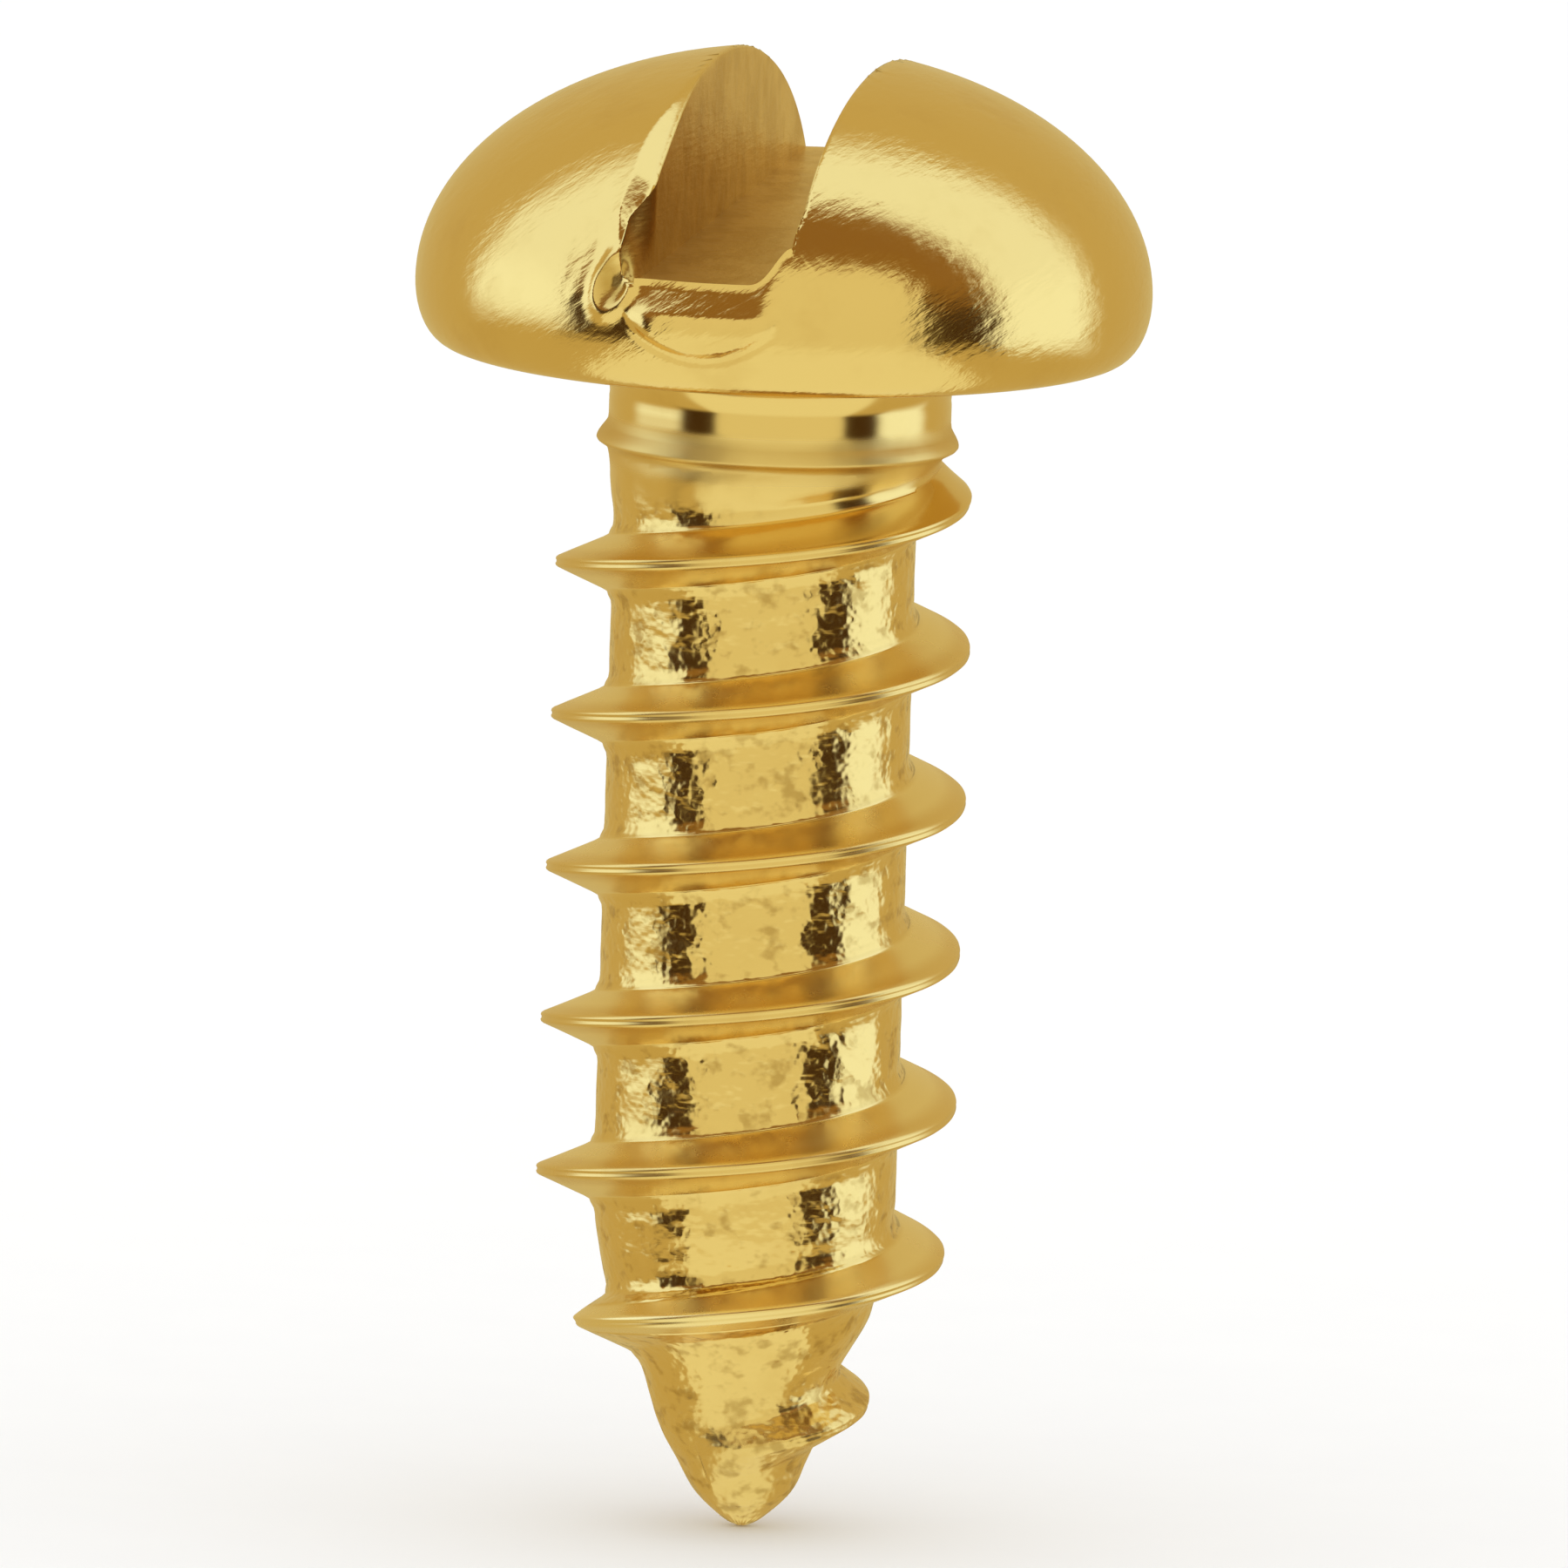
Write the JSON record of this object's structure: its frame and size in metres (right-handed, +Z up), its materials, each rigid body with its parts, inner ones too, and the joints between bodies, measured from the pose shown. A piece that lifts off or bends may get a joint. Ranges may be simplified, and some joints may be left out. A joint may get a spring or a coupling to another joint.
{
  "type": "wood screw",
  "caption": "Short brass screw with a slotted round head, a small neck collar, a full-length spaced thread and a gimlet point.",
  "frame": {"origin": "on the shank's axis, in the plane of the flat underside of the head", "axes": "+Z up along the shank's axis from the point to the head, +Y along the slot"},
  "size_m": [0.006, 0.006, 0.0123],
  "materials": {
    "brass": "gloss"
  },
  "bodies": {
    "root": {"screw": "brass"}
  },
  "joints": []
}
